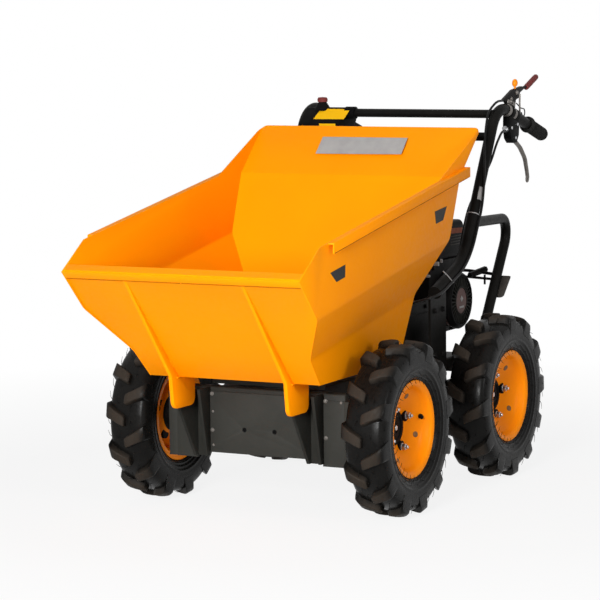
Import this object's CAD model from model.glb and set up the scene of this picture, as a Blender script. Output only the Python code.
"""Looks of a walk-behind four-wheel mini dumper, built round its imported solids.

Lengths are in millimetres, but points are Vectors in metres in the part's frame. at() makes them
from x to the machine's left, y to the driver from half way between the axles, and z up.
"""

import logging
from dataclasses import dataclass, field
from enum import Enum
from math import atan2, ceil, cos, hypot, pi, radians, sin, tan, tau
from typing import Callable, Iterable, Sequence

import bmesh
import bpy
from mathutils import Matrix, Vector


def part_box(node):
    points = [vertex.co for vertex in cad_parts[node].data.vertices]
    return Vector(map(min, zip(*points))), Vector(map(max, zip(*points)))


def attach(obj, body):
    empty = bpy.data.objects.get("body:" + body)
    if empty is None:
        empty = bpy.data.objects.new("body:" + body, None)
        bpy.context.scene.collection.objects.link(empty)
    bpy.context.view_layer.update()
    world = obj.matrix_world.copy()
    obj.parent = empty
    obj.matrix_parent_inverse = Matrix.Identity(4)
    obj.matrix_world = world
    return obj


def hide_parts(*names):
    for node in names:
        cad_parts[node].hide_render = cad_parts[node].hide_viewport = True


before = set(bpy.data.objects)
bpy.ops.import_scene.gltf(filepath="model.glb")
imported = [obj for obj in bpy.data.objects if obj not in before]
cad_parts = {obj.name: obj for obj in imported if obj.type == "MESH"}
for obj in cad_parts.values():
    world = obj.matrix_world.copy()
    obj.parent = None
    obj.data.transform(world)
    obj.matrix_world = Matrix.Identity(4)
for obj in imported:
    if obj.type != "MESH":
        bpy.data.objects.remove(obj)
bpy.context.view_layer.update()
LOG = logging.getLogger("dumper")
MM = 0.001
Pair = tuple[float, float]
Triple = tuple[float, float, float]
Values = dict[str | int, object]
Mesh = bmesh.types.BMesh
Ring = list[bmesh.types.BMVert]
Tree = bpy.types.NodeTree
Socket = bpy.types.NodeSocket
OUT_X = Vector((1, 0, 0))
AHEAD = Vector((0, -1, 0))
UP = Vector((0, 0, 1))


class Way(Enum):
    """A way along an axis, by its sign there."""

    @property
    def word(self) -> str:
        """Its name in node names."""
        return self.name.lower()


class Side(Way):
    """Sides of the machine, along x."""

    LEFT = 1
    RIGHT = -1


class End(Way):
    """Ends of the machine, along y."""

    FRONT = -1
    REAR = 1


def middle(node: str) -> Vector:
    """Middle of a CAD node's box."""
    low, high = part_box(node)
    return (low + high) / 2


MID_Y = (middle("tyre_front_left").y + middle("tyre_rear_left").y) / 2 / MM


def at(x: float, y: float, z: float) -> Vector:
    """The point at x, y and z."""
    return Vector((x, MID_Y + y, z)) * MM


def spoke(angle: float) -> Vector:
    """Direction across the x axis, at an angle from y towards z."""
    return Vector((0, cos(angle), sin(angle)))


# ---- finishes


class Shader:
    """Adds nodes to one shader or geometry tree."""

    def __init__(self, tree: Tree) -> None:
        """Keep the tree and empty it."""
        self.tree = tree
        tree.nodes.clear()

    def socket(self, label: str, kind: str, way: str = "INPUT") -> bpy.types.NodeTreeInterfaceSocket:
        """Add a socket to the tree's own inputs or outputs."""
        return self.tree.interface.new_socket(label, in_out=way, socket_type=f"NodeSocket{kind}")

    def node(self, kind: str, values: Values | None = None, **settings: object) -> bpy.types.Node:
        """Add a node.

        Args:
            kind: The node's type name.
            values: Its inputs' values, or the sockets linked to them.
            **settings: Its own properties.

        Returns:
            The new node.
        """
        made = self.tree.nodes.new(kind)
        for key, value in settings.items():
            setattr(made, key, value)
        for key, value in (values or {}).items():
            if isinstance(value, Socket):
                self.tree.links.new(value, made.inputs[key])
            else:
                made.inputs[key].default_value = value
        return made

    def first(self, kind: str, values: Values | None = None, **settings: object) -> Socket:
        """First output of a new node."""
        return self.node(kind, values, **settings).outputs[0]

    def mix(self, share: object, first: object, second: object) -> Socket:
        """Mix of two colours by the second one's share."""
        return self.node("ShaderNodeMix", {0: share, 6: first, 7: second}, data_type="RGBA").outputs[2]

    def maths(self, operation: str, *values: object) -> Socket:
        """Result of a Math node with those values or sockets."""
        return self.first("ShaderNodeMath", dict(enumerate(values)), operation=operation)

    def span(self, value: object, low: float, high: float, to_low: float = 0, to_high: float = 1) -> Socket:
        """A value moved from one range to another and clamped there."""
        return self.first("ShaderNodeMapRange", {0: value, 1: low, 2: high, 3: to_low, 4: to_high})

    def effect(self, tree: Tree, **values: object) -> Socket:
        """Result of a shared effect with those inputs."""
        return self.first("ShaderNodeGroup", values, node_tree=tree)


class Effect(Shader):
    """A node group that several finishes share; its sizes are in millimetres."""

    def __init__(self, name: str, kind: str, **inputs: float) -> None:
        """Make the group's sockets.

        Args:
            name: The group's name.
            kind: Kind of its output, Result.
            **inputs: Default values of its inputs beside Coordinates.
        """
        super().__init__(bpy.data.node_groups.new(name, "ShaderNodeTree"))
        self.socket("Coordinates", "Vector")
        for label, default in inputs.items():
            self.socket(label, "Float").default_value = default
        self.socket("Result", kind, "OUTPUT")
        self.inlet = self.node("NodeGroupInput")

    def given(self, label: str) -> Socket:
        """One of the group's inputs."""
        return self.inlet.outputs[label]

    def noise(self, detail: object, scale: object = None) -> Socket:
        """Noise at the coordinates.

        Args:
            detail: Its detail.
            scale: Its scale, unless the input Size gives it.

        Returns:
            The noise.
        """
        scale = scale or self.maths("DIVIDE", 1 / MM, self.given("Size"))
        values = {"Vector": self.given("Coordinates"), "Scale": scale, "Detail": detail}
        return self.first("ShaderNodeTexNoise", values)

    def close(self, result: Socket) -> Tree:
        """End the group in its result."""
        self.node("NodeGroupOutput", {"Result": result})
        return self.tree


def make_speckle() -> Tree:
    """Soft noise from 0 to 1."""
    group = Effect("Speckle", "Float", Size=10, Detail=3)
    return group.close(group.span(group.noise(group.given("Detail")), 0.3, 0.7))


def make_edge_wear(width: float = 1.5, scale: float = 90.0) -> Tree:
    """Mask of sharp edges, broken up by noise.

    Args:
        width: Width of the worn strip.
        scale: Scale of the noise.

    Returns:
        The group's tree.
    """
    group = Effect("Edge wear", "Float", Amount=0.5)
    soft = group.first("ShaderNodeBevel", {"Radius": width * MM}, samples=4)
    true = group.node("ShaderNodeNewGeometry").outputs["Normal"]
    alike = group.node("ShaderNodeVectorMath", {0: soft, 1: true}, operation="DOT_PRODUCT").outputs["Value"]
    breaks = group.span(group.noise(4.0, scale), 0.42, 0.62)
    broken = group.maths("MULTIPLY", group.span(alike, 0.995, 0.9), breaks)
    return group.close(group.maths("MULTIPLY", broken, group.given("Amount")))


def make_dust() -> Tree:
    """Mask of dust that lies on faces that look up.

    Returns:
        The group's tree.
    """
    group = Effect("Dust", "Float", Size=40, Amount=0.2)
    normal = group.node("ShaderNodeSeparateXYZ", {0: group.node("ShaderNodeNewGeometry").outputs["Normal"]})
    upward = group.span(normal.outputs["Z"], -0.2, 1, 0.15)
    lying = group.maths("MULTIPLY", upward, group.span(group.noise(6.0), 0.35, 0.7))
    return group.close(group.maths("MULTIPLY", lying, group.given("Amount")))


def make_relief() -> Tree:
    """Fine bumps as a normal.

    Returns:
        The group's tree.
    """
    group = Effect("Relief", "Vector", Size=1, Depth=0.02)
    height = group.maths("MULTIPLY", group.noise(2.0), group.maths("MULTIPLY", group.given("Depth"), MM))
    return group.close(group.first("ShaderNodeBump", {"Height": height, "Distance": 1.0}))


SPECKLE = make_speckle()
EDGE_WEAR = make_edge_wear()
DUST = make_dust()
RELIEF = make_relief()


@dataclass(frozen=True)
class Finish:
    """A finish with soft colour changes, fine relief, worn edges and a little dust.

    Sizes are in millimetres, and shares go from 0 to 1. The second colour shows where mottle
    takes over, and the zone's one where the point attribute of that name is 1.
    """

    name: str
    slot: str
    colour: Triple
    second: Triple
    roughness: float
    specular: float
    mottle_size: float
    grain_size: float = 0.8
    grain_depth: float = 0.02
    dust: float = 0.02
    dust_size: float = 45.0
    dust_colour: Triple = (0.32, 0.29, 0.25)
    roughness_change: float = 0.08
    metallic: float = 0.0
    worn: Triple = (0.5, 0.5, 0.5)
    wear: float = 0.0
    zone: str = ""
    zone_colour: Triple = (0.1, 0.1, 0.1)
    zone_roughness: float = 0.0

    def material(self) -> bpy.types.Material:
        """The finish's material, made the first time it is asked for.

        Returns:
            The material.
        """
        title = f"finish_{self.name}"
        made = bpy.data.materials.get(title)
        if made is None:
            made = bpy.data.materials.new(title)
            made.use_nodes = True
            self.build(Shader(made.node_tree))
        return made

    def build(self, shader: Shader) -> None:
        """Build the finish's nodes.

        Args:
            shader: Helper of the material's own tree.
        """
        place = shader.node("ShaderNodeTexCoord").outputs["Object"]
        mottle = shader.effect(SPECKLE, Coordinates=place, Size=self.mottle_size, Detail=4.0)
        colour = shader.mix(mottle, (*self.colour, 1), (*self.second, 1))
        fine = shader.effect(SPECKLE, Coordinates=place, Size=self.grain_size * 6, Detail=5.0)
        change = self.roughness_change
        rough = shader.span(fine, 0, 1, self.roughness - change, self.roughness + change)
        if self.zone:
            mask = shader.node("ShaderNodeAttribute", attribute_name=self.zone).outputs["Fac"]
            colour = shader.mix(mask, colour, (*self.zone_colour, 1))
            rough = shader.maths("MULTIPLY_ADD", mask, self.zone_roughness, rough)
        if self.wear:
            worn = shader.effect(EDGE_WEAR, Coordinates=place, Amount=self.wear)
            colour = shader.mix(worn, colour, (*self.worn, 1))
        if self.dust:
            dust = shader.effect(DUST, Coordinates=place, Size=self.dust_size, Amount=self.dust)
            colour = shader.mix(dust, colour, (*self.dust_colour, 1))
        relief = shader.effect(RELIEF, Coordinates=place, Size=self.grain_size, Depth=self.grain_depth)
        surface = shader.first("ShaderNodeBsdfPrincipled", {
            "Base Color": colour, "Roughness": rough, "Metallic": self.metallic,
            "Specular IOR Level": self.specular, "Normal": relief,
        })
        shader.node("ShaderNodeOutputMaterial", {"Surface": surface})


# After the two colours: roughness, specular and mottle size, then grain size and depth where they differ.
BLACK: tuple[Triple, Triple] = ((0.004, 0.004, 0.004), (0.007, 0.007, 0.007))
SKIP_ORANGE = Finish(
    "skip_orange", "skip_paint", (1.0, 0.315, 0.0), (0.97, 0.29, 0.0), 0.5, 0.06, 220, 1.6, 0.008,
    dust=0.0, worn=(1.0, 0.42, 0.02), wear=0.15,
)
SKIP_SHADE = Finish(
    "skip_shade", "skip_paint", (0.4, 0.11, 0.0), (0.34, 0.09, 0.0), 0.6, 0.05, 120, 1.6, 0.008, dust=0.0
)
RIM_ORANGE = Finish(
    "rim_orange", "rim_paint", (1.0, 0.285, 0.0), (0.94, 0.25, 0.0), 0.4, 0.1, 90, 1.4, 0.008,
    dust=0.0, worn=(1.0, 0.4, 0.02), wear=0.12,
)
PLATE_GREY = Finish(
    "plate_grey", "frame_paint", (0.03, 0.03, 0.026), (0.025, 0.025, 0.022), 0.6, 0.12, 80, 1.2, 0.03,
    dust=0.03, worn=(0.075, 0.07, 0.062), wear=0.25,
)
TUBE_BLACK = Finish(
    "tube_black", "tube_paint", (0.004, 0.0039, 0.0036), (0.0062, 0.0058, 0.0052), 0.42, 0.04, 60, 1.0, 0.012,
    worn=(0.04, 0.039, 0.036), wear=0.15,
)
ENGINE_BLACK = Finish(
    "engine_black", "engine_metal", BLACK[0], (0.007, 0.0067, 0.0064), 0.42, 0.02, 30, 1.5, 0.03,
    dust=0.03, worn=(0.05, 0.048, 0.045), wear=0.25,
)
BLACK_PLASTIC = Finish("black_plastic", "black_plastic", *BLACK, 0.4, 0.015, 40, grain_depth=0.03, dust=0.03)
TYRE_RUBBER = Finish(
    "tyre_rubber", "tyre", (0.004, 0.0038, 0.0036), (0.006, 0.0057, 0.0052), 0.3, 0.07, 35, 1.4, 0.04,
    dust=0.05, dust_colour=(0.05, 0.044, 0.037), roughness_change=0.1,
    zone="worn", zone_colour=(0.028, 0.022, 0.017), zone_roughness=0.35,
)
GRIP_FOAM = Finish(
    "grip_foam", "grip_foam", (0.012, 0.012, 0.0115), (0.017, 0.017, 0.016), 0.9, 0.1, 8, 1.0, 0.15,
    roughness_change=0.05,
)
CAST_ALLOY = Finish(
    "cast_alloy", "lever_alloy", (0.17, 0.155, 0.14), (0.12, 0.11, 0.1), 0.45, 0.3, 12, 0.9, 0.04,
    dust=0.03, metallic=0.4,
)
ZINC = Finish(
    "zinc", "lever_alloy", (0.5, 0.5, 0.5), (0.4, 0.41, 0.43), 0.3, 0.5, 6, 0.6, 0.01, dust=0.05, metallic=0.9
)
MUFFLER_STEEL = Finish(
    "muffler_steel", "muffler_steel", (0.12, 0.11, 0.1), (0.08, 0.07, 0.06), 0.5, 0.5, 25, 1.2, 0.04,
    dust=0.05, metallic=0.7,
)
RED_GRIP = Finish(
    "red_grip", "red_grip", (0.17, 0.028, 0.024), (0.13, 0.02, 0.018), 0.6, 0.2, 10, grain_depth=0.03
)
ORANGE_KNOB = Finish(
    "orange_knob", "orange_knob", (0.95, 0.28, 0.005), (0.88, 0.24, 0.004), 0.4, 0.15, 10,
    grain_depth=0.01, dust=0.0,
)
LABEL_SILVER = Finish(
    "label_silver", "lever_alloy", (0.36, 0.35, 0.34), (0.3, 0.295, 0.29), 0.45, 0.2, 30, 0.6, 0.004
)
LABEL_YELLOW = Finish(
    "label_yellow", "orange_knob", (0.92, 0.5, 0.004), (0.88, 0.46, 0.004), 0.5, 0.06, 30, 0.6, 0.004
)
STRIPE_DARK = Finish(
    "stripe_dark", "black_plastic", (0.016, 0.016, 0.016), (0.02, 0.02, 0.02), 0.5, 0.1, 30, 0.6, 0.004,
    dust=0.01,
)
CABLE_BLACK = Finish("cable_black", "black_plastic", *BLACK, 0.35, 0.12, 40, grain_depth=0.01)
BRACKET_GREY = Finish(
    "bracket_grey", "frame_paint", (0.017, 0.017, 0.015), (0.021, 0.021, 0.018), 0.6, 0.06, 25
)
TAB_GREY = Finish("tab_grey", "tube_paint", (0.05, 0.044, 0.038), (0.035, 0.031, 0.027), 0.5, 0.1, 25)
TANK_STRIPE = Finish("tank_stripe", "orange_knob", (0.28, 0.055, 0.012), (0.17, 0.035, 0.01), 0.5, 0.1, 12)
HOLE_BLACK = Finish("hole_black", "frame_paint", BLACK[0], (0.006, 0.006, 0.006), 0.7, 0.02, 10, dust=0.0)
RIM_PLUG = Finish("rim_plug", "muffler_steel", (0.2, 0.1, 0.035), (0.14, 0.075, 0.03), 0.5, 0.3, 10)
CONSOLE_BLACK = Finish("console_black", "black_plastic", *BLACK, 0.5, 0.012, 40, grain_depth=0.03, dust=0.01)
RUST_RED = Finish("rust_red", "engine_metal", (0.11, 0.045, 0.036), (0.07, 0.035, 0.03), 0.45, 0.3, 18)


# ---- mesh making


# Points nearer than the first are one, and so are faces within the second's angle in degrees.
WELD, FLAT = 0.01, 0.8
# Least and largest angle of a fold in degrees, and its least length.
FOLD_ANGLES, FOLD_LENGTH = (12.0, 62.0), 60.0
# Largest step of an arc in degrees, least turn in radians that gets one, and its share of a side.
ARC_STEP, LEAST_TURN, ROOM = 8.0, 0.02, 0.49
# Shares of a bolt's width over its corners.
WASHER_RADIUS, WASHER_HEIGHT, HEAD_HEIGHT = 0.62, 0.09, 0.36


def soften(part: Mesh, edges: list[bmesh.types.BMEdge], width: float, steps: int) -> None:
    """Round edges to a width with that many faces across."""
    shape = {"profile": 0.5, "affect": "EDGES", "clamp_overlap": True}
    bmesh.ops.bevel(part, geom=edges, offset=width * MM, segments=steps, **shape)


def circle(part: Mesh, centre: Vector, axes: tuple[Vector, Vector], radius: float, count: int) -> Ring:
    """Add the points of a circle.

    Args:
        part: The mesh that gets them.
        centre: The circle's middle.
        axes: Directions of its first point and of the one a quarter on.
        radius: Its radius.
        count: How many points it has.

    Returns:
        The points in order.
    """
    out, side = axes
    turns = [tau * step / count for step in range(count)]
    return [part.verts.new(centre + (out * cos(a) + side * sin(a)) * radius * MM) for a in turns]


def skin(part: Mesh, rings: list[Ring], closed: bool = False) -> None:
    """Join rings of points into a closed skin.

    Args:
        part: The mesh that holds the points.
        rings: Rings of equally many points, or of one point at a tip.
        closed: Whether the last ring joins the first.
    """
    ends = [(rings[-1], rings[0])] if closed else []
    for near, far in [*zip(rings, rings[1:]), *ends]:
        count = max(len(near), len(far))
        for step in range(count):
            after = (step + 1) % count
            spots = ((near, step), (near, after), (far, after), (far, step))
            unlike = list(dict.fromkeys(ring[spot % len(ring)] for ring, spot in spots))
            if len(unlike) > 2:
                part.faces.new(unlike)
    for ring in () if closed else (rings[0], rings[-1]):
        if len(ring) > 2:
            part.faces.new(ring)


def rounded(points: Sequence[Vector], bend: float) -> list[Vector]:
    """A path with arcs at its corners.

    Args:
        points: The path's corners.
        bend: Radius of the arcs.

    Returns:
        The path's points.
    """
    if bend == 0 or len(points) < 3:
        return list(points)
    path = [points[0]]
    for before, corner, after in zip(points, points[1:], points[2:]):
        back, ahead = (before - corner).normalized(), (after - corner).normalized()
        turn = pi - back.angle(ahead)
        if turn < LEAST_TURN:
            path.append(corner)
            continue
        reach = bend * MM * tan(turn / 2)
        room = ROOM * min((before - corner).length, (after - corner).length)
        share = min(1.0, room / reach)
        hub = corner + (back + ahead).normalized() * (bend * MM * share / cos(turn / 2))
        start, end = corner + back * reach * share - hub, corner + ahead * reach * share - hub
        count = max(3, ceil(turn / radians(ARC_STEP)))
        for step in range(count + 1):
            part = turn * step / count
            path.append(hub + (start * sin(turn - part) + end * sin(part)) / sin(turn))
    path.append(points[-1])
    return path


def strip(centre: Vector, out: Vector, side: Vector, radii: Pair, angles: Sequence[float]) -> list[Vector]:
    """Outline of a thin curved strip.

    Args:
        centre: Middle of its arcs.
        out: Direction from there at angle 0.
        side: Direction at a quarter turn.
        radii: Radius of its outer and of its inner face.
        angles: Angles of its points in degrees.

    Returns:
        The outline's points in order.
    """
    turns = [radians(angle) for angle in angles]
    return [
        centre + (out * cos(turn) + side * sin(turn)) * radius * MM
        for radius, row in zip(radii, (turns, turns[::-1])) for turn in row
    ]


class Form:
    """A mesh under construction."""

    def __init__(self) -> None:
        """Start with nothing."""
        self.mesh = bmesh.new()

    def absorb(self, part: Mesh, bevel: float = 0.0, sharp: float = 25.0, steps: int = 2) -> None:
        """Take in a part and free it.

        Args:
            part: The part's mesh.
            bevel: Width of the round on its sharp edges.
            sharp: Least angle in degrees of an edge that gets that round.
            steps: Faces across the round.
        """
        bmesh.ops.recalc_face_normals(part, faces=part.faces)
        if bevel:
            least = radians(sharp)
            edges = [e for e in part.edges if len(e.link_faces) == 2 and e.calc_face_angle() > least]
            soften(part, edges, bevel, steps)
        held = bpy.data.meshes.new("part")
        part.to_mesh(held)
        part.free()
        self.mesh.from_mesh(held)
        bpy.data.meshes.remove(held)

    def turned(
        self, profile: Sequence[Pair], centre: Vector, axis: Vector, steps: int = 48, closed: bool = False,
        bevel: float = 0.0,
    ) -> None:
        """Add a turned part.

        Args:
            profile: (along, radius) pairs; radius 0 closes an end in a point.
            centre: Where along is 0.
            axis: Direction of the turning axis.
            steps: Points round the axis.
            closed: Whether the last ring joins the first, as on a tyre.
            bevel: Width of the round on its sharp edges.
        """
        part = bmesh.new()
        axis = axis.normalized()
        out = axis.orthogonal() if abs(axis.x) <= 0.9 else UP - axis * axis.z
        out = out.normalized()
        rings = []
        for along, radius in profile:
            foot = centre + axis * along * MM
            rings.append(circle(part, foot, (out, axis.cross(out)), radius, steps if radius else 1))
        skin(part, rings, closed)
        self.absorb(part, bevel)

    def pipe(
        self, points: Sequence[Vector], radius: float, bend: float = 0.0, sides: int = 16,
        tips: Pair = (1.0, 1.0), squash: float = 1.0, closed: bool = False,
    ) -> None:
        """Add a round bar along a path.

        Args:
            points: The path's corners.
            radius: The bar's radius.
            bend: Radius of the arcs at the corners.
            sides: Points round the bar.
            tips: Shares of the radius at the start and the end.
            squash: Thickness along the section's second axis, as a share of the first.
            closed: Whether the path is a loop.
        """
        path = rounded(points, bend)
        part = bmesh.new()
        first = (path[1] - path[0]).normalized()
        out = OUT_X - first * first.x
        if out.length < 0.2:
            out = UP - first * first.z
        steps = [0.0, *((far - near).length for near, far in zip(path, path[1:]))]
        rings = []
        for index, point in enumerate(path):
            near, far = index - 1, index + 1
            if not closed:
                near, far = max(near, 0), min(far, len(path) - 1)
            ahead = (path[far % len(path)] - path[near]).normalized()
            out = (out - ahead * out.dot(ahead)).normalized()
            share = sum(steps[:index + 1]) / sum(steps)
            size = radius * (tips[0] + (tips[1] - tips[0]) * share)
            rings.append(circle(part, point, (out, ahead.cross(out) * squash), size, sides))
        skin(part, rings, closed)
        self.absorb(part)

    def plate(self, outline: Sequence[Vector], wall: Vector, bevel: float = 0.8, steps: int = 2) -> None:
        """Add a flat plate.

        Args:
            outline: Its corners in order.
            wall: From the outline to the other face, in millimetres.
            bevel: Width of the round on its edges.
            steps: Faces across that round.
        """
        part = bmesh.new()
        skin(part, [[part.verts.new(point + step) for point in outline] for step in (Vector(), wall * MM)])
        self.absorb(part, bevel, steps=steps)

    def block(
        self, centre: Vector, size: Triple, bevel: float = 1.0, turn: float = 0.0, steps: int = 2
    ) -> None:
        """Add a block with rounded edges.

        Args:
            centre: Its middle.
            size: Its lengths along x, y and z before it is turned.
            bevel: Width of the round on its edges.
            turn: Angle in radians by which it is turned about x.
            steps: Faces across that round.
        """
        part = bmesh.new()
        bmesh.ops.create_cube(part, size=1)
        bmesh.ops.scale(part, vec=Vector(size) * MM, verts=part.verts)
        bmesh.ops.transform(part, matrix=Matrix.Rotation(turn, 4, "X"), verts=part.verts)
        bmesh.ops.translate(part, vec=centre, verts=part.verts)
        self.absorb(part, bevel, steps=steps)

    def collar(self, centre: Vector, axis: Vector, inner: float, outer: float, length: float) -> None:
        """Add a ring with softened edges.

        Args:
            centre: Its middle.
            axis: Its axis.
            inner: Inner radius.
            outer: Outer radius.
            length: Length along the axis.
        """
        half, soft = length / 2, min(0.8, (outer - inner) / 3)
        slope = [(half, outer - soft), (half, inner)]
        profile = [(-along, radius) for along, radius in slope[::-1]]
        profile += [(soft - half, outer), (half - soft, outer), *slope]
        self.turned(profile, centre, axis, 40, closed=True)

    def bolt(self, centre: Vector, axis: Vector, across: float) -> None:
        """Add a hexagon head on its washer.

        Args:
            centre: Where the washer meets what it holds.
            axis: The way that the head points.
            across: Width over the corners.
        """
        wide, thick = across * WASHER_RADIUS, across * WASHER_HEIGHT
        self.turned([(-0.5, wide), (thick, wide)], centre, axis, 24, bevel=across * 0.02)
        top = thick + across * HEAD_HEIGHT
        self.turned([(0, across / 2), (top, across / 2)], centre, axis, 6, bevel=across * 0.05)

    def copied(self, node: str, bevel: float, fold: float = 0.0, steps: int = 2) -> None:
        """Add a copy of a CAD node with its sharp edges rounded.

        Args:
            node: The node's name.
            bevel: Width of the round on its sharp edges.
            fold: Width of the round on its folds, which are long and flatter.
            steps: Faces across a round.
        """
        part = bmesh.new()
        part.from_mesh(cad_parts[node].data)
        bmesh.ops.remove_doubles(part, verts=part.verts, dist=WELD * MM)
        bmesh.ops.dissolve_limit(part, angle_limit=radians(FLAT), verts=part.verts, edges=part.edges)
        if fold:
            low, high = (radians(angle) for angle in FOLD_ANGLES)
            pairs = [e for e in part.edges if len(e.link_faces) == 2 and e.calc_length() >= FOLD_LENGTH * MM]
            soften(part, [e for e in pairs if low < e.calc_face_angle() < high], fold, 3)
        self.absorb(part, bevel, 32.0, steps)

    def painted(self, zone: str, share: Callable[[Vector], float]) -> None:
        """Store each point's share of a zone.

        Args:
            zone: The point attribute's name.
            share: Gives the share at a point.
        """
        layer = self.mesh.verts.layers.float.new(zone)
        for vert in self.mesh.verts:
            vert[layer] = share(vert.co)

    def deliver(
        self, name: str, finish: Finish, body: str, replaces: Iterable[str] = (), smooth: float = 32.0
    ) -> None:
        """Turn the form into a finished piece.

        Args:
            name: The piece's name.
            finish: Its finish.
            body: The body that it rides on.
            replaces: CAD nodes that it stands for.
            smooth: Largest angle in degrees between faces that shade as one.
        """
        mesh = bpy.data.meshes.new(name)
        self.mesh.to_mesh(mesh)
        self.mesh.free()
        piece = bpy.data.objects.new(name, mesh)
        bpy.context.scene.collection.objects.link(piece)
        mesh.shade_smooth()
        mesh.set_sharp_from_angle(angle=radians(smooth))
        mesh.materials.clear()
        mesh.materials.append(finish.material())
        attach(piece, body)
        nodes = tuple(replaces)
        if nodes:
            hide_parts(*nodes)
        LOG.info("%s: %d faces on %s", name, len(mesh.polygons), body)

    def stand_in(self, node: str, finish: Finish, body: str, smooth: float = 32.0) -> None:
        """Turn the form into the piece that stands for one CAD node."""
        self.deliver(f"{node}_dressed", finish, body, [node], smooth)


def soften_node(
    node: str, finish: Finish, body: str, bevel: float, smooth: float = 32.0, fold: float = 0.0,
    steps: int = 2,
) -> None:
    """Put a copy with rounded edges in a CAD node's place.

    Args:
        node: The node's name.
        finish: The copy's finish.
        body: The body that it rides on.
        bevel: Width of the round on its sharp edges.
        smooth: Largest angle in degrees between faces that shade as one.
        fold: Width of the round on its folds.
        steps: Faces across a round.
    """
    form = Form()
    form.copied(node, bevel, fold, steps)
    form.stand_in(node, finish, body, smooth)


def dress(finish: Finish, *nodes: str) -> None:
    """Give CAD nodes that stay their finish.

    Args:
        finish: The finish.
        *nodes: The nodes' names.
    """
    for piece in (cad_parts[node] for node in nodes):
        piece.data.materials.clear()
        piece.data.materials.append(finish.material())


# ---- repeats


class Repeat:
    """A Geometry Nodes tree that copies a shape and sets its material.

    Each copy is a step and a turn about x on from the one before, and the turns are about Centre.
    """

    def __init__(self) -> None:
        """Make the tree."""
        nodes = Shader(bpy.data.node_groups.new("Repeat", "GeometryNodeTree"))
        kinds = {
            "Shape": "Geometry", "Count": "Int", "Step": "Vector", "Start": "Float", "Turn": "Float",
            "Centre": "Vector", "Material": "Material",
        }
        self.tree = nodes.tree
        self.keys = {label: nodes.socket(label, kind).identifier for label, kind in kinds.items()}
        nodes.socket("Copies", "Geometry", "OUTPUT")
        given = nodes.node("NodeGroupInput").outputs
        line = nodes.first("GeometryNodeMeshLine", {"Count": given["Count"], "Offset": given["Step"]})
        index = nodes.first("GeometryNodeInputIndex")
        angle = nodes.maths("MULTIPLY_ADD", index, given["Turn"], given["Start"])
        turn = nodes.first("ShaderNodeCombineXYZ", {"X": angle})
        back = nodes.first("ShaderNodeVectorMath", {0: given["Centre"], "Scale": -1.0}, operation="SCALE")
        values = {"Geometry": given["Shape"], "Translation": back}
        values = {"Points": line, "Instance": nodes.first("GeometryNodeTransform", values), "Rotation": turn}
        copies = nodes.first("GeometryNodeInstanceOnPoints", values)
        values = {"Instances": copies, "Translation": given["Centre"], "Local Space": False}
        moved = nodes.first("GeometryNodeTranslateInstances", values)
        real = nodes.first("GeometryNodeRealizeInstances", {0: moved})
        values = {"Geometry": real, "Material": given["Material"]}
        nodes.node("NodeGroupOutput", {0: nodes.first("GeometryNodeSetMaterial", values)})

    def copies(
        self, form: Form, finish: Finish, count: int, centre: Triple = (0.0, 0.0, 0.0), start: float = 0.0,
        step: Triple = (0.0, 0.0, 0.0), turn: float | None = None,
    ) -> Form:
        """Copies of a form round an axle or along a line.

        Args:
            form: The shape; it is used up.
            finish: The finish that the copies get.
            count: How many copies.
            centre: Where the axle is.
            start: Angle in radians of the first copy.
            step: From each copy to the next.
            turn: Angle in radians from each copy to the next, or their share of a whole turn.

        Returns:
            A new form that holds the copies.
        """
        mesh = bpy.data.meshes.new("shape")
        form.mesh.to_mesh(mesh)
        form.mesh.free()
        carrier = bpy.data.objects.new("shape", mesh)
        bpy.context.scene.collection.objects.link(carrier)
        modifier = carrier.modifiers.new("repeat", "NODES")
        modifier.node_group = self.tree
        values = {
            "Material": finish.material(), "Count": count, "Centre": tuple(centre), "Start": start,
            "Step": step, "Turn": tau / count if turn is None else turn,
        }
        for label, value in values.items():
            modifier[self.keys[label]] = value
        graph = bpy.context.evaluated_depsgraph_get()
        result = bpy.data.meshes.new_from_object(carrier.evaluated_get(graph))
        bpy.data.objects.remove(carrier)
        made = Form()
        made.mesh.from_mesh(result)
        for spent in (result, mesh):
            bpy.data.meshes.remove(spent)
        return made


REPEAT = Repeat()


# ---- wheels


# Angle in degrees by which each tyre's lugs stand on from the lowest point.
TREAD_PHASE = {"front_left": 17.0, "front_right": 20.0, "rear_left": 24.0, "rear_right": 10.0}


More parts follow.
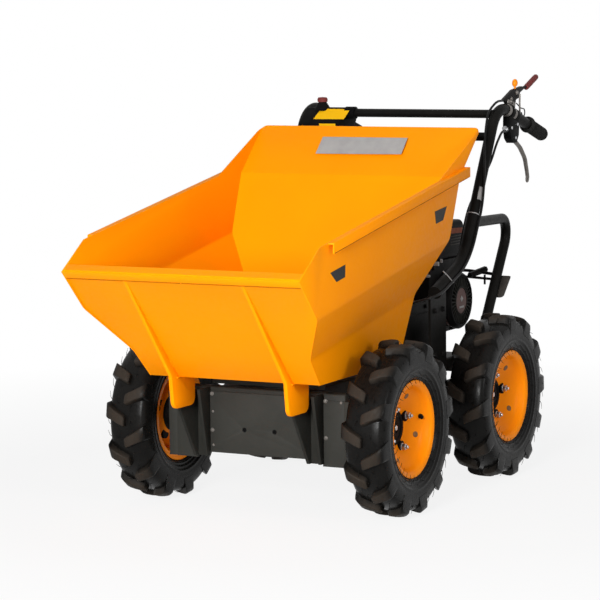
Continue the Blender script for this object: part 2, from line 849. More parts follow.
@dataclass
class Wheel:
    """A wheel with a block-lugged tyre on a dished steel rim."""

    end: End
    side: Side
    lugs: int = 12
    lug_width: float = 27.0
    lug_lean: float = 12.5
    lug_reach: float = 50.0
    lug_round: float = 1.6
    flare: float = 0.32 / 0.45
    flare_from: float = 0.55
    worn_from: float = 199.0
    worn_to: float = 204.0
    bore: float = 12.55
    nut_circle: float = 52.5
    plug_circle: float = 76.0
    # Section of the tyre from its bead to the middle of the crown: (half width, radius).
    carcass: tuple[Pair, ...] = (
        (35.5, 103), (36.2, 111), (38.5, 116), (43, 119), (44.6, 121.5), (43.6, 124), (44.2, 126.5),
        (46.6, 129), (47.4, 131), (47.0, 133.5), (48.8, 137), (50.3, 139), (50.6, 141.5), (50.0, 143),
        (51.0, 148), (51.4, 158), (50.8, 168), (48.6, 178), (44.5, 184.5), (37, 188.3), (20, 190.5), (0, 191),
    )
    # Stations of a lug, from the middle out: (half width, top radius, root radius, share of its width).
    lug_line: tuple[tuple[float, float, float, float], ...] = (
        (-1.5, 202, 187, 0.72), (2.0, 204.8, 187, 0.92), (12, 205, 187, 1), (26, 204.6, 186, 1),
        (38, 203, 183, 1), (45.5, 200.5, 176, 1), (50.5, 196, 168, 1), (51.7, 188, 162, 1),
        (51.95, 172, 160, 1),
    )
    # Rows of moulding hairs: (count, first angle, foot, tip, the tip's lag), ends as (half width, radius).
    hair_rows: tuple[tuple[int, float, Pair, Pair, float], ...] = (
        (34, 4.0, (44.0, 121.0), (47.5, 106.0), 3.0), (23, 9.0, (46.5, 132.0), (50.5, 122.0), 5.0),
        (29, 2.0, (20.0, 190.0), (24.0, 202.5), 4.0), (31, 7.0, (-14.0, 190.0), (-16.0, 202.0), -5.0),
        (37, 5.0, (49.0, 176.0), (51.6, 186.0), 6.0),
    )
    # Outer and inner skin of the rim, each from its outer flange: (half width, radius).
    rim_outer: tuple[Pair, ...] = (
        (40.0, 112.6), (39.0, 114.0), (37.4, 113.2), (36.2, 108.0), (35.6, 102.4), (33, 101.4), (22, 100.6),
        (18, 97), (6, 89), (-8, 89), (-18, 96.5), (-24, 100.6), (-33, 101.4), (-35.6, 102.4), (-36.2, 108.0),
        (-37.4, 113.2), (-39.0, 114.0), (-40.0, 112.6), (-39.4, 108.0), (-38.0, 101.0), (-34, 98.4),
        (-25, 97.5), (-20, 93.5), (-9, 86), (2, 86), (5.0, 83.5), (2.5, 76), (-3.75, 64), (-10.0, 52),
        (-16.0, 41), (-16, 34),
    )
    rim_inner: tuple[Pair, ...] = (
        (-10, 34), (-10, 38.5), (-9.3, 41), (-3.75, 51.5), (2.5, 63.5), (8.4, 75), (12.8, 83.5), (17.5, 90.2),
        (23, 94.6), (30, 97.4), (35, 100), (38.2, 104), (39.4, 108.5),
    )

    def __post_init__(self) -> None:
        """Find the wheel in the CAD frame."""
        self.label = f"{self.end.word}_{self.side.word}"
        self.body = f"wheel_{self.label}"
        self.centre = middle(f"tyre_{self.label}")
        self.out = OUT_X * self.side.value

    def build(self) -> None:
        """Build and dress the whole wheel."""
        self.tyre()
        self.hairs()
        self.rim()
        self.fittings()

    def hairs(self) -> None:
        """Fine moulding hairs on the bead and between the lugs."""
        hairs = Form()
        for count, first, foot, tip, lag in self.hair_rows:
            between = ((foot[0] + tip[0]) / 2 + 0.6, (foot[1] + tip[1]) / 2)
            points = [
                self.centre + (self.out * half + spoke(radians(90 - turn)) * radius) * MM
                for (half, radius), turn in ((foot, 0), (between, lag * 0.3), (tip, lag))
            ]
            hair = Form()
            hair.pipe(points, 0.75, 0, 5, (1.0, 0.5))
            row = REPEAT.copies(hair, TYRE_RUBBER, count, self.centre, radians(first))
            hairs.absorb(row.mesh)
        hairs.deliver(f"tyre_hairs_{self.label}", TYRE_RUBBER, self.body)

    def lug_pair(self) -> Form:
        """One lug of each row, the second row half a pitch on.

        Returns:
            The two lugs as a form.
        """
        form = Form()
        for row, shift in ((1, 0.0), (-1, 180 / self.lugs)):
            first = radians(TREAD_PHASE[self.label] - 90.0 + shift)
            part = bmesh.new()
            rings = []
            for half, top, root, nose in self.lug_line:
                share = max(half, 0.0) / self.lug_reach
                lean = self.lug_lean * (2 * share - 1)
                wide = self.lug_width * nose * (1 + self.flare * max(0.0, share - self.flare_from))
                slope = ((0.6, root), (0.48, top - self.lug_round), (0.4, top))
                ring = []
                for offset, radius in (*((-o, r) for o, r in slope), *slope[::-1]):
                    angle = first + (lean + offset * wide) / radius
                    place = Vector((row * half, -cos(angle) * radius, sin(angle) * radius))
                    ring.append(part.verts.new(self.centre + place * MM))
                rings.append(ring)
            skin(part, rings)
            form.absorb(part)
        return form

    def worn(self, point: Vector) -> float:
        """Share of wear by distance from the axle.

        Args:
            point: Where it is asked for.

        Returns:
            The share.
        """
        away = point - self.centre
        share = (hypot(away.y, away.z) / MM - self.worn_from) / (self.worn_to - self.worn_from)
        return min(1.0, max(0.0, share))

    def tyre(self) -> None:
        """The tyre: its carcass with rings on the sidewall, and the lugs round it."""
        form = REPEAT.copies(self.lug_pair(), TYRE_RUBBER, self.lugs, self.centre)
        section = [*self.carcass, *((-half, radius) for half, radius in self.carcass[-2::-1])]
        form.turned(section, self.centre, OUT_X, 96, closed=True)
        form.painted("worn", self.worn)
        form.stand_in(f"tyre_{self.label}", TYRE_RUBBER, self.body, 38)

    def rim(self) -> None:
        """The rim: flanges, bead seats and the deep bowl with its holes, one closed skin."""
        form = Form()
        form.turned(self.rim_outer + self.rim_inner, self.centre, self.out, 80, closed=True)
        form.stand_in(f"rim_{self.label}", RIM_ORANGE, self.body, 34)

    def fittings(self) -> None:
        """The dark hub, its flange and nuts, the plugs and the valve."""
        out, hub, bore = self.out, Form(), self.bore
        tube = [(-38, bore), (-38, 33), (-36, 36), (-16.2, 36), (-16.2, 44), (-17.5, 44), (-22, bore)]
        flange = [
            (-11, bore), (-11, 40.4), (-7.2, 40.4), (-6.2, 39), (-6.0, 31), (-8.6, 29), (-8.6, 19),
            (-6.2, 17.5), (-6.2, bore),
        ]
        hub.turned(tube, self.centre, out, 64, closed=True, bevel=0.6)
        hub.turned(flange, self.centre, out, 64, closed=True)
        hub.deliver(f"hub_{self.label}", ENGINE_BLACK, self.body)
        place = self.centre + (UP * self.nut_circle - out * 3.0) * MM
        start = radians({End.FRONT: 26.0, End.REAR: 11.0}[self.end] * self.side.value)
        nut = Form()
        nut.turned([(-1, 9.0), (2.6, 9.0)], place, out, 24, bevel=0.3)
        nut.turned([(0, 8.0), (11.5, 8.0)], place, out, 6, bevel=0.8)
        nut.turned([(10.5, 4.2), (15.5, 4.2), (17, 3.0), (17, 0)], place, out, 12)
        nuts = REPEAT.copies(nut, ZINC, 4, self.centre, start)
        nuts.turned([(-8.4, 6.0), (-5.0, 6.0), (-4.2, 5.0), (-4.0, 0)], self.centre, out, 24)
        nuts.deliver(f"wheel_nuts_{self.label}", ZINC, self.body)
        seat = Form()
        seat.turned([(-8, 14.0), (0.6, 14.0), (1.6, 12.5), (1.6, 0)], place, out, 32)
        seats = REPEAT.copies(seat, ENGINE_BLACK, 4, self.centre, start)
        seats.deliver(f"nut_seats_{self.label}", ENGINE_BLACK, self.body)
        plug = Form()
        place = self.centre + (UP * self.plug_circle + out * 9.2) * MM
        plug.turned([(-2.5, 7.0), (0.6, 7.0), (1.2, 6.2), (1.2, 0)], place, out - UP * 0.5, 20)
        plugs = REPEAT.copies(plug, RIM_PLUG, 4, self.centre, start + pi / 4)
        plugs.deliver(f"rim_plugs_{self.label}", RIM_PLUG, self.body)
        valve = Form()
        outward = spoke(radians({End.FRONT: 11.0, End.REAR: 196.0}[self.end]))
        foot = self.centre + (outward * 88 + out * 15) * MM
        lean = (out - outward * 0.9).normalized() * MM
        valve.pipe([foot + lean * along for along in (-4, 3, 9)], 6.0, 0, 16, (1.1, 0.85))
        valve.turned([(8, 3.6), (13, 3.6), (14, 2.6), (14, 0)], foot, lean, 12)
        valve.deliver(f"valve_{self.label}", BLACK_PLASTIC, self.body)


# ---- skip


@dataclass
class Skip:
    """The tipping skip of folded sheets, with its ribs, stripes and blank plate."""

    body: str = "skip"
    sheet_edge: float = 1.1
    fold: float = 7.0
    rise: float = 9.5
    fold_half: float = 300.0
    fold_z: float = 610.0
    top_half: float = 303.0
    top_z: float = 765.5
    rib: float = 150.0
    rib_half: float = 5.6
    front_foot: Pair = (-505.0, 329.0)
    lip: Pair = (-748.6, 594.0)
    seam: float = 316.4

    def build(self) -> None:
        """Build and dress the whole skip."""
        for node in ("skip_floor", "skip_front", "skip_back", "skip_side_left", "skip_side_right"):
            soften_node(node, SKIP_ORANGE, self.body, self.sheet_edge, 28, self.fold)
        for side in Side:
            soften_node(f"skip_rib_{side.word}", SKIP_ORANGE, self.body, 1.6, 35)
        self.welds()
        self.seams()
        self.stripes()
        self.plate()

    def welds(self) -> None:
        """Short weld beads where the ribs meet the front sheet and the floor."""
        form = Form()
        foot, head = Vector((0, *self.front_foot)), Vector((0, *self.lip))
        up = (head - foot).normalized()
        out = Vector((0, -up.z, up.y))
        for side in Side:
            for edge in (-1, 1):
                x = side.value * self.rib + edge * self.rib_half
                for share in (0.1, 0.3, 0.5, 0.7):
                    start = foot.lerp(head, share) + out * 0.4
                    form.pipe([at(x, *(start + up * step).yz) for step in (0, 12, 24)], 2.0, 0, 8, (0.7, 0.7))
            for y in (-515, -469):
                x = side.value * self.rib + self.rib_half
                form.pipe([at(x, y + step, 328.4) for step in (0, 14, 28)], 2.0, 0, 8)
        form.deliver("skip_welds", SKIP_ORANGE, self.body)

    def seams(self) -> None:
        """Dark lines where the sheets meet."""
        form = Form()
        for side in Side:
            x = side.value * self.seam
            form.pipe([at(x, -613, 640.2), at(x, 118, 762.5)], 1.1, 0, 8)
            form.pipe([at(side.value * along, -737.6, 575.2) for along in (2, 297)], 1.1, 0, 8)
            form.pipe([at(x, 119.4, z) for z in (763.5, 782)], 0.8, 0, 8)
        form.deliver("skip_seams", SKIP_SHADE, self.body)

    def on_side(self, side: Side, y: float, z: float, proud: float = 0.05) -> Vector:
        """A point on the outer face of a side's upper facet.

        Args:
            side: Which side.
            y: Along the machine.
            z: Height.
            proud: How far it stands off the sheet.

        Returns:
            The point.
        """
        climb = tan(radians(self.rise))
        share = (z - climb * y - self.fold_z) / (self.top_z - self.fold_z)
        half = self.fold_half + (self.top_half - self.fold_half) * share
        return at(side.value * (half + proud), y, z)

    def stripes(self) -> None:
        """Plain dark stripes on both sides."""
        # Corners of each slanted stripe: (y, z).
        shapes = (
            ((-47, 660), (-6, 666), (14, 698), (-55, 690)),
            ((-574, 573), (-532, 580), (-531, 608), (-605, 596)),
        )
        for side in Side:
            form = Form()
            for corners in shapes:
                outline = [self.on_side(side, y, z) for y, z in corners]
                form.plate(outline, OUT_X * side.value * 0.5, 0.1, 1)
            form.deliver(f"side_stripes_{side.word}", STRIPE_DARK, self.body)

    def plate(self) -> None:
        """Blank silver plate on the back wall's inner face."""
        form = Form()
        corners = ((-110, 176, 851), (125, 176, 851), (126, 136, 813), (-111, 136, 811))
        form.plate([at(x, y - 3.4, z) for x, y, z in corners], Vector((0, -0.5, 0.4)), 0.1, 1)
        form.deliver("back_plate_blank", LABEL_SILVER, self.body)


# ---- chassis


@dataclass
class Chassis:
    """Frame, front plates, hinge brackets, axles and rear guard."""

    body: str = "chassis"
    plate_y: float = -384.8
    frame_half: float = 254.2
    wing_x: float = 232.5
    tab_x: float = 236.0
    # Outline of a guard tab: (outward, up).
    tab_line: tuple[Pair, ...] = ((0, 31), (30, 31), (33, 28), (27, -24), (23, -29), (17, -31), (0, -31))

    def build(self) -> None:
        """Build and dress the whole chassis."""
        soften_node("frame", PLATE_GREY, self.body, 2.5, 35)
        soften_node("front_plate", PLATE_GREY, self.body, 0.8, 35)
        for side in Side:
            soften_node(f"hinge_bracket_{side.word}", BRACKET_GREY, self.body, 0.8, 35)
        dress(TUBE_BLACK, "front_axle", "rear_axle", "rear_guard_left", "rear_guard_right")
        self.plates()
        self.bolts()
        self.guard_tabs()

    def plates(self) -> None:
        """The front plate's bolts and holes, and the edges of its wings."""
        form = Form()
        for x, z, across in (
            (-126, 274, 8), (-126, 188, 8), (174, 274, 8), (174, 188, 8), (-124, 232, 5), (-124, 152, 5),
            (214, 272, 5),
        ):
            form.bolt(at(x, self.plate_y, z), AHEAD, across)
        form.deliver("plate_bolts", CAST_ALLOY, self.body)
        form = Form()
        for x in (-40, 40):
            place = at(x, -385, 193)
            form.turned([(-1.0, 4.4), (0.3, 4.6), (0.3, 5.6), (-1.0, 5.6)], place, AHEAD, 24, closed=True)
            form.turned([(-2.0, 4.46), (-3.0, 4.46)], place, AHEAD, 24)
        form.deliver("plate_holes", HOLE_BLACK, self.body)
        form = Form()
        for side in Side:
            x = side.value * self.wing_x
            form.block(at(x, -382, 198), (23, 6, 153), 0.8)
            form.block(at(x, -376, 272), (23, 8, 5), 0.8)
        form.block(at(0, -338, 306), (300, 3, 28), 0.8)
        form.deliver("plate_wing_edges", PLATE_GREY, self.body)

    def bolts(self) -> None:
        """The bolts of the frame's uprights."""
        form = Form()
        for side in Side:
            for y in (44, 92):
                for z in (330, 440):
                    form.bolt(at(side.value * self.frame_half, y, z), OUT_X * side.value, 12)
        form.deliver("frame_bolts", ENGINE_BLACK, self.body)

    def guard_tabs(self) -> None:
        """The rounded tabs behind the legs of the rear guard."""
        form = Form()
        slope = atan2(220, 332)
        back, up = spoke(-slope), Vector((0, sin(slope), cos(slope)))
        for side in Side:
            start = at(side.value * self.tab_x, 340 + 169 * tan(slope), 465) + back * 11.2 * MM
            out = OUT_X * side.value
            form.plate([start + (out * x + up * z) * MM for x, z in self.tab_line], back * 5.6, 1.0)
        form.deliver("guard_tabs", TAB_GREY, self.body)


# ---- engine


@dataclass
class Engine:
    """The petrol engine with its starter, tank, muffler and belt guard."""

    body: str = "chassis"
    crank_y: float = 337.0
    crank_z: float = 432.0
    left: float = 150.0
    cap: Triple = (20.0, 340.0, 630.0)
    guard_x: float = 189.2
    # Outline of the starter's drum: (along, radius).
    drum: tuple[Pair, ...] = (
        (-20, 60), (-20, 67), (0.5, 67), (0.5, 71.2), (2, 72), (7, 72), (8.5, 71.2), (8.5, 66.5), (31, 66.5),
        (31, 71), (32.5, 72), (39, 71.6), (43.5, 69), (46, 65.5), (46, 61), (41, 57.5), (38, 52), (37, 40),
        (37, 0),
    )
    # Outline of each end cap of the muffler: (along, radius).
    can: tuple[Pair, ...] = ((0, 0), (0, 32), (2, 40), (6, 44), (10, 45))

    def build(self) -> None:
        """Build and dress the whole engine."""
        self.block()
        self.starter()
        self.tank()
        self.linkage()
        self.belt_guard()
        self.muffler()

    def block(self) -> None:
        """The block with its cooling fins, bolts and brackets."""
        soften_node("engine_block", ENGINE_BLACK, self.body, 3.5, steps=3)
        fin = Form()
        fin.block(at(0, 240.8, 470), (190, 8, 2.4), 0.6, steps=1)
        fins = REPEAT.copies(fin, ENGINE_BLACK, 11, step=(0.0, 0.0, 9.5 * MM), turn=0.0)
        for x in (-82, 82):
            fins.bolt(at(x, 242, 440), AHEAD, 13)
        fins.deliver("engine_fins", ENGINE_BLACK, self.body)
        bolts = Form()
        for y, z in ((316, 362), (372, 358), (262, 372), (416, 372), (416, 520), (262, 520)):
            bolts.bolt(at(self.left, y, z), OUT_X, 11)
        for y in (258, 416):
            for side in Side:
                bolts.bolt(at(side.value * 78, y, 318), OUT_X * side.value, 13)
        bolts.deliver("engine_bolts", ENGINE_BLACK, self.body)

    def starter(self) -> None:
        """The recoil starter: a ringed drum with a ribbed face round a red disc."""
        hub = at(self.left, self.crank_y, self.crank_z)
        form = Form()
        form.turned(self.drum, hub, OUT_X, 72)
        form.deliver("starter_drum", BLACK_PLASTIC, self.body, ["recoil_starter"])
        fin = Form()
        fin.block(hub + Vector((41.0, 0, 47.5)) * MM, (8, 3.0, 23), 0.6, steps=1)
        fins = REPEAT.copies(fin, BRACKET_GREY, 32, hub)
        fins.turned([(38, 36), (45, 36), (45.6, 35), (45.6, 33), (38, 33)], hub, OUT_X, 48, closed=True)
        fins.deliver("starter_fins", BRACKET_GREY, self.body)
        bar = Form()
        bar.block(hub + Vector((20, 0, 67.2)) * MM, (16, 4, 3), 0.5, steps=1)
        REPEAT.copies(bar, BRACKET_GREY, 16, hub).deliver("starter_bars", BRACKET_GREY, self.body)
        disc = Form()
        disc.turned([(21, 66.7), (21, 67.6), (26, 67.6), (26, 66.7)], hub, OUT_X, 64, closed=True)
        disc.turned([(38, 0), (38, 33), (43.2, 33), (44.4, 31.5), (44.8, 26), (44.8, 0)], hub, OUT_X)
        disc.deliver("starter_disc", RUST_RED, self.body)
        marks = Form()
        marks.block(hub + Vector((45.0, 0, -16)) * MM, (1.4, 26, 5), 0.5)
        marks.block(hub + Vector((45.0, 1, 5)) * MM, (1.2, 12, 12), 0.5, 0.785)
        marks.deliver("starter_marks", LABEL_SILVER, self.body)

    def tank(self) -> None:
        """The fuel tank with its filler cap, its stripe and its louvres."""
        form, x, y, z = Form(), *self.cap
        form.copied("fuel_tank", 9.0, steps=4)
        form.turned([(-2, 30), (5, 30), (6, 28)], at(x, y, z), UP, 40, bevel=1)
        form.stand_in("fuel_tank", BLACK_PLASTIC, self.body)
        cap = Form()
        cap.turned([(5.5, 24), (18, 24), (21, 21), (22, 0)], at(x, y, z), UP, 32)
        for count in range(12):
            angle = tau * count / 12
            cap.block(at(x + 24 * cos(angle), y + 24 * sin(angle), z + 12), (5, 5, 11), 1.2)
        cap.deliver("fuel_cap", ENGINE_BLACK, self.body)
        stripe = Form()
        corners = ((372, 598), (449, 595), (449, 608), (372, 612))
        stripe.plate([at(149.9, y, z) for y, z in corners], OUT_X * 0.4, 0.1, 1)
        stripe.deliver("tank_stripe", TANK_STRIPE, self.body)
        louvres = Form()
        for z in (590, 583, 576, 569):
            louvres.block(at(150.2, 410, z), (0.9, 78, 1.8), 0.3)
        louvres.deliver("tank_louvres", TAB_GREY, self.body)

    def muffler(self) -> None:
        """The muffler with its end caps, seam bands, slotted shield and outlet."""
        centre = middle("muffler")
        centre.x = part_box("muffler")[0].x
        form = Form()
        right = (*self.can, (12, 45), (12.5, 46.2), (16, 46.2), (16.5, 45))
        left = ((133, 45), (133.5, 46.2), (137, 46.2), (137.5, 45))
        left += tuple((150 - along, radius) for along, radius in self.can[::-1])
        form.turned(right + left, centre, OUT_X, 64)
        form.turned([(-12, 9), (-12, 11), (4, 11)], centre + Vector((0, 8, 14)) * MM, OUT_X, 24)
        form.stand_in("muffler", MUFFLER_STEEL, self.body)
        shield = Form()
        arc = [-50 + 12.5 * step for step in range(11)]
        shield.plate(strip(centre + OUT_X * 24 * MM, -AHEAD, UP, (49.5, 48.0), arc), OUT_X * 102, 0.0)
        for along in (34, 116):
            shield.bolt(centre + Vector((along, 49.5, 0)) * MM, -AHEAD, 9)
        shield.deliver("muffler_shield", MUFFLER_STEEL, self.body)
        slots = Form()
        for row in (-26, 0, 26):
            turn = radians(row)
            for column in range(6):
                spot = centre + (OUT_X * (45 + 12 * column) + spoke(turn) * 49.3) * MM
                slots.block(spot, (5, 0.9, 15), 0.4, turn)
        slots.deliver("muffler_slots", HOLE_BLACK, self.body)

    def linkage(self) -> None:
        """The pull grip and the rods that run back to the guard."""
        form = Form()
        form.pipe([at(176, 431, 487), at(196, 489, 498)], 8.5, 0, 6, (0.92, 1.0))
        form.pipe([at(140, 430, 498), at(158, 456, 497), at(224, 478, 487)], 4.0, 40)
        form.pipe([at(150, 430, 484), at(186, 446, 480), at(224, 476, 474)], 3.4, 30)
        form.pipe([at(203, 466, 486), at(203, 466, 461)], 2.8, 0, 10)
        form.turned([(-3, 6.5), (4, 6.5)], at(222, 477, 487), UP, 16, bevel=0.8)
        form.deliver("engine_linkage", ENGINE_BLACK, self.body)
        clip = Form()
        end = at(285.5, 84, 508)
        clip.pipe([at(285.5, 28, 539), at(285.5, 50, 528), end], 1.2, 0, 8)
        clip.turned([(-3, 0), (-2, 2.2), (0, 3), (2, 2.2), (3, 0)], end, -AHEAD, 12)
        for place, size in (
            ((226, 62, 522), (16, 8, 6)), ((226, 114, 547), (16, 9, 10)), ((232, 134, 553), (6, 5, 9)),
        ):
            clip.block(at(*place), size)
        clip.deliver("wire_clips", LABEL_SILVER, self.body)

    def belt_guard(self) -> None:
        """The belt guard with a pressed rib and its bolts."""
        soften_node("belt_guard", TUBE_BLACK, self.body, 5.0, steps=3)
        rib = Form()
        path = ((12, 330), (12, 425), (150, 425), (188, 388), (188, 330))
        rib.pipe([at(self.guard_x, y, z) for y, z in path], 3.0, 22, 8)
        for y, z in ((6, 312), (196, 312), (6, 440), (128, 440)):
            rib.bolt(at(190, y, z), OUT_X, 10)
        rib.deliver("belt_guard_rib", ENGINE_BLACK, self.body)


# ---- handles and controls


@dataclass
class Handles:
    """The handles in their sleeves, with grips, levers, console and cables."""

    body: str = "chassis"
    x: float = 267.0
    sleeve_y: float = 189.0
    sleeve_z: float = 548.0
    bend_y: float = 400.0
    bend_z: float = 928.0
    end_y: float = 693.0
    end_z: float = 838.0
    grip_length: float = 102.0
    console_wide: float = 120.0
    switch: Triple = (-219.0, 385.0, 914.0)
    # Side view of the console: (y, z).
    console_line: tuple[Pair, ...] = (
        (340, 851), (334, 878), (382, 917), (430, 914), (440, 901), (440, 880), (420, 861)
    )
    # Outline of a grip: (along, radius).
    grip_line: tuple[Pair, ...] = (
        (0, 14.2), (0, 19.5), (1.2, 21), (6.2, 21.5), (7.8, 20.6), (8.4, 17.4), (9.5, 17.0), (14, 17.5),
        (90, 17.5), (102, 17.5), (107, 16.6), (109.6, 14), (110, 9), (110, 0),
    )

    def __post_init__(self) -> None:
        """Find the directions of the handles above and below their bend."""
        self.run = Vector((0, self.end_y - self.bend_y, self.end_z - self.bend_z)).normalized()
        self.lean = atan2(self.bend_y - self.sleeve_y, self.bend_z - self.sleeve_z)

    def build(self) -> None:
        """Build and dress the handles and what they hold."""
        for side in Side:
            dress(TUBE_BLACK, f"handle_{side.word}", f"handle_sleeve_{side.word}")
            self.grip(side)
            self.housing(side)
            self.lever(side)
        dress(CABLE_BLACK, "cable_shift", "cable_clutch")
        dress(TUBE_BLACK, "crossbars")
        self.shift()
        self.console()
        self.labels()
        self.collars()

    def grip_point(self, x: float, along: float, above: float) -> Vector:
        """A point beside a grip.

        Args:
            x: Across the machine.
            along: Along the handle from the grip's start.
            above: Above the handle's middle line.

        Returns:
            The point.
        """
        start = Vector((x, self.end_y, self.end_z)) - self.run * self.grip_length
        up = Vector((0, -self.run.z, self.run.y))
        return at(*(start + self.run * along + up * above))

    def route(self, x: float, *points: Pair) -> list[Vector]:
        """Points beside a grip from their places along and above it."""
        return [self.grip_point(x, along, above) for along, above in points]

    def grip(self, side: Side) -> None:
        """A foam grip with its flange and a knurled skin.

        Args:
            side: Which grip.
        """
        foot = self.grip_point(side.value * self.x, 0, 0)
        form = Form()
        form.turned(self.grip_line, foot, self.run)
        for count in range(18):
            form.collar(foot + self.run * (16 + count * 5) * MM, self.run, 17.15, 17.9, 2.6)
        form.stand_in(f"grip_{side.word}", GRIP_FOAM, self.body)

    def housing(self, side: Side) -> None:
        """A lever's housing, its clamp round the handle and its screws.

        Args:
            side: Which handle's.
        """
        x = side.value * self.x
        form = Form()
        form.copied(f"lever_housing_{side.word}", 3.0, steps=3)
        for place in self.route(x, (-122, 0), (-92, 0)):
            form.collar(place, self.run, 14.05, 17.0, 13)
        form.stand_in(f"lever_housing_{side.word}", BLACK_PLASTIC, self.body)
        screws = Form()
        for place in self.route(x + side.value * 9.9, (-118, -40), (-86, -58), (-84, -22)):
            screws.turned([(0, 4.2), (1.6, 4.2), (2.2, 3.4), (2.2, 0)], place, OUT_X * side.value, 16)
        ferrule = [(-9, 5.5), (-9, 7), (3, 7), (3, 5.5), (9, 5.5), (9, 4.4)]
        screws.turned(ferrule, self.grip_point(x, -134, -47), Vector((0, -1, 0.18)), 16)
        screws.deliver(f"lever_screws_{side.word}", ZINC, self.body)

    def lever(self, side: Side) -> None:
        """A cast lever, flattened and tapered, with a loop at its end.

        Args:
            side: Which handle's.
        """
        x = side.value * self.x
        form = Form()
        route = self.route(x, (-86, -58), (-28, -69), (12, -88), (34, -116), (44, -131))
        form.pipe(route, 6.5, 45, 16, (1.15, 0.8), 0.62)
        turns = [tau * count / 24 for count in range(24)]
        loop = self.route(x, *((43.5 + 6.0 * cos(a), -134 + 8.5 * sin(a)) for a in turns))
        form.pipe(loop, 2.6, sides=10, closed=True)
        form.stand_in(f"lever_{side.word}", CAST_ALLOY, self.body)

    def shift(self) -> None:
        """The shift lever's bracket, clamp, wire loop and grip, and the throttle's knob."""
        x = self.x
        soften_node("shift_bracket", TUBE_BLACK, self.body, 1.0)
        clamp = Form()
        for place in self.route(x, (-143, 0), (-108, 0)):
            clamp.collar(place, self.run, 14.1, 16.4, 12)
        clamp.block(self.grip_point(x, -140, 22), (14, 20, 9), 1.0, -0.3)
        clamp.block(self.grip_point(x, -112, 24), (14, 16, 10), 1.0, -0.3)
        for out, along, above, across in ((6.5, -136, 24, 9), (3.5, -98, 58, 10), (3.5, -128, 34, 8)):
            clamp.bolt(self.grip_point(x + out, along, above), OUT_X, across)
        clamp.pipe(self.route(x + 8, (-86, 58), (-80, 34), (-72, 10), (-62, 2)), 2.6, 20, 10, squash=0.6)
        clamp.deliver("shift_clamp", CAST_ALLOY, self.body)
        wire = Form()
        route = self.route(x + 6, (-96, 30), (-64, 26), (-40, 30), (-34, 16), (-46, 8), (-58, 16))
        wire.pipe(route, 1.6, 9, 8)
        wire.deliver("shift_wire", CABLE_BLACK, self.body)
        grip = Form()
        run, foot = Vector((0, 0.935, 0.355)), at(x, 588, 962.3)
        grip.turned([(0, 0), (0, 6.2), (2, 7.2), (73, 7.2), (77, 5.5), (77, 0)], foot, run, 28, bevel=1)
        for along in range(8, 72, 8):
            band = [(along, 7.1), (along, 7.5), (along + 3, 7.5), (along + 3, 7.1)]
            grip.turned(band, foot, run, 28, closed=True)
        grip.stand_in("shift_grip", RED_GRIP, self.body)
        knob = Form()
        ball = [(-10.5 * cos(a), 7.4 * sin(a)) for a in (pi * step / 10 for step in range(11))]
        knob.turned(ball, at(x, 516.5, 976.5), Vector((0, 0.1, 1)), 28)
        knob.turned([(-26, 0), (-26, 2.6), (-8, 2.6)], at(x, 516.5, 974), UP, 14)
        knob.stand_in("throttle_knob", ORANGE_KNOB, self.body)

    def console(self) -> None:
        """The control box on the right handle with its switch."""
        form = Form()
        outline = [at(-self.x + 1, y, z) for y, z in self.console_line]
        form.plate(outline, OUT_X * self.console_wide, 6.0, 3)
        reach = 144 - self.console_wide
        for below, radius in ((25.3, 16.0), (81.0, 15.0)):
            z = self.bend_z - below
            y = self.sleeve_y + (z - self.sleeve_z) * tan(self.lean)
            form.collar(at(-124.5 - reach / 2, y, z), OUT_X, 10.9, radius, reach + 4)
        form.stand_in("console", CONSOLE_BLACK, self.body)
        cone = Form()
        cone.turned([(-6, 22), (0, 20), (8, 15.5), (15, 11), (17, 11), (17, 0)], at(*self.switch), UP, 32)
        for x in (-240, -150):
            cone.turned([(0, 4), (1.6, 4), (2.2, 3), (2.2, 0)], at(x, 411, 915.2), UP, 16)
        cone.deliver("switch_cone", CONSOLE_BLACK, self.body)
        cap = Form()
        cap.turned([(16.5, 13), (24, 13.5), (28, 11), (29, 0)], at(*self.switch), UP, 28)
        cap.deliver("switch_cap", RED_GRIP, self.body)

    def labels(self) -> None:
        """Blank labels on the console's slope and on its front."""
        form = Form()
        slope = ((-226, 345.5, 887.3), (-138, 345.5, 887.3), (-134, 376, 912.1), (-219, 376, 912.1))
        front = ((-204, 336.9, 864), (-157, 336.9, 864), (-157, 334.3, 876.5), (-204, 334.3, 876.5))
        for corners, away in ((slope, Vector((0, -0.63, 0.776))), (front, Vector((0, -0.976, -0.217)))):
            form.plate([at(*corner) + away * 0.1 * MM for corner in corners], away * 0.5, 0.1, 1)
        form.deliver("console_labels", LABEL_YELLOW, self.body)

    def collars(self) -> None:
        """The wire rings and blank labels at the sleeves' upper ends."""
        rings, labels = Form(), Form()
        run = Vector((0, sin(self.lean), cos(self.lean)))
        arc = [-62 + 10 * step for step in range(11)]
        for side in Side:
            ring, foot = (
                at(side.value * self.x, self.sleeve_y + (z - self.sleeve_z) * tan(self.lean), z)
                for z in (658, 692)
            )
            rings.collar(ring, run, 16.05, 17.2, 2.6)
            outline = strip(foot, OUT_X * side.value, spoke(-self.lean), (14.4, 13.9), arc)
            labels.plate(outline, run * 34, 0.0)
        rings.deliver("sleeve_rings", LABEL_SILVER, self.body)
        labels.deliver("sleeve_labels", LABEL_SILVER, self.body)


# ---- studio


@dataclass
class Lamp:
    """A soft square lamp; its lengths are in metres."""

    name: str
    place: Triple
    aim: Triple
    size: float
    power: float

    def build(self) -> None:
        """Hang the lamp and turn it to its aim."""
        light = bpy.data.lights.new(self.name, "AREA")
        light.shape = "SQUARE"
        light.size = self.size
        light.energy = self.power
        lamp = bpy.data.objects.new(self.name, light)
        lamp.location = self.place
        lamp.rotation_euler = (Vector(self.aim) - lamp.location).to_track_quat("-Z", "Y").to_euler()
        bpy.context.scene.collection.objects.link(lamp)


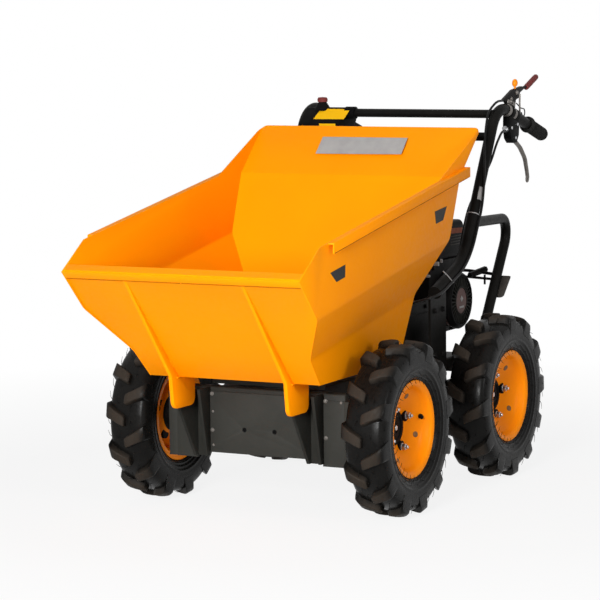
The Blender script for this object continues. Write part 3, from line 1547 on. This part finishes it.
@dataclass
class Studio:
    """Pale floor, soft light and the camera; its lengths are in metres."""

    heading: float = 27.64
    pitch: float = 6.39
    roll: float = -0.68
    place: Triple = (2.87653, -5.64271, 1.17328)
    lens: float = 156.32
    ambient: float = 0.22
    sky: Triple = (0.95, 0.97, 1.0)
    floor_grey: float = 0.74
    # The floor's own glow is this much up to the first distance and full from the second one.
    glow: float = 0.86
    fade: Pair = (0.9, 2.4)
    lamps: list[Lamp] = field(default_factory=lambda: [
        Lamp("key", (0.9, -4.9, 1.5), (0.0, 0.0, 0.4), 1.5, 285.0),
        Lamp("side", (4.4, -1.4, 1.8), (0.0, 0.0, 0.45), 1.2, 50.0),
        Lamp("top", (-0.6, 0.6, 4.4), (0.0, 0.0, 0.4), 2.0, 11.0),
    ])

    def build(self) -> None:
        """Set up the whole studio."""
        self.camera()
        self.world()
        self.floor()
        for lamp in self.lamps:
            lamp.build()
        bpy.context.scene.view_settings.view_transform = "Standard"

    def camera(self) -> None:
        """Place the camera."""
        data = bpy.data.cameras.new("camera")
        data.lens = self.lens
        camera = bpy.data.objects.new("camera", data)
        turn = Matrix.Identity(4)
        for angle, axis in ((self.heading, "Z"), (90 - self.pitch, "X"), (self.roll, "Z")):
            turn = turn @ Matrix.Rotation(radians(angle), 4, axis)
        camera.matrix_world = Matrix.Translation(self.place) @ turn
        bpy.context.scene.collection.objects.link(camera)
        bpy.context.scene.camera = camera

    def world(self) -> None:
        """White behind the object, soft grey light on it."""
        world = bpy.data.worlds.new("studio")
        world.use_nodes = True
        bpy.context.scene.world = world
        shader = Shader(world.node_tree)
        seen = self.seen(shader)
        colour = shader.mix(seen, (*self.sky, 1), (1, 1, 1, 1))
        strength = shader.span(seen, 0, 1, self.ambient, 1.0)
        light = shader.first("ShaderNodeBackground", {"Color": colour, "Strength": strength})
        shader.node("ShaderNodeOutputWorld", {"Surface": light})

    @staticmethod
    def seen(shader: Shader) -> Socket:
        """1 for camera, glossy and transmission rays, otherwise 0.

        Args:
            shader: Helper of the tree that uses it.

        Returns:
            That number.
        """
        rays = shader.node("ShaderNodeLightPath").outputs
        near = shader.maths("MAXIMUM", rays["Is Camera Ray"], rays["Is Glossy Ray"])
        return shader.maths("MAXIMUM", near, rays["Is Transmission Ray"])

    def floor(self) -> None:
        """A wide pale floor that fades to white and keeps the object's shadow."""
        mesh = bpy.data.meshes.new("floor")
        sheet = bmesh.new()
        bmesh.ops.create_grid(sheet, x_segments=1, y_segments=1, size=30)
        sheet.to_mesh(mesh)
        sheet.free()
        floor = bpy.data.objects.new("floor", mesh)
        floor.location.z = -0.5 * MM
        bpy.context.scene.collection.objects.link(floor)
        finish = bpy.data.materials.new("floor_white")
        finish.use_nodes = True
        shader = Shader(finish.node_tree)
        lit = shader.first("ShaderNodeBsdfDiffuse", {"Color": (*[self.floor_grey] * 3, 1)})
        glow = shader.first("ShaderNodeEmission", {"Color": (1, 1, 1, 1), "Strength": 1.0})
        place = shader.node("ShaderNodeTexCoord").outputs["Object"]
        away = shader.node("ShaderNodeVectorMath", {0: place}, operation="LENGTH").outputs["Value"]
        share = shader.maths("MULTIPLY", self.seen(shader), shader.span(away, *self.fade, self.glow, 1.0))
        both = shader.first("ShaderNodeMixShader", {0: share, 1: lit, 2: glow})
        shader.node("ShaderNodeOutputMaterial", {"Surface": both})
        mesh.materials.append(finish)


def main() -> None:
    """Build the studio and the machine, piece by piece."""
    logging.basicConfig(level=logging.INFO, format="%(message)s")
    Studio().build()
    for end in End:
        for side in Side:
            Wheel(end, side).build()
    Skip().build()
    Chassis().build()
    Engine().build()
    Handles().build()


if __name__ == "__main__":
    main()
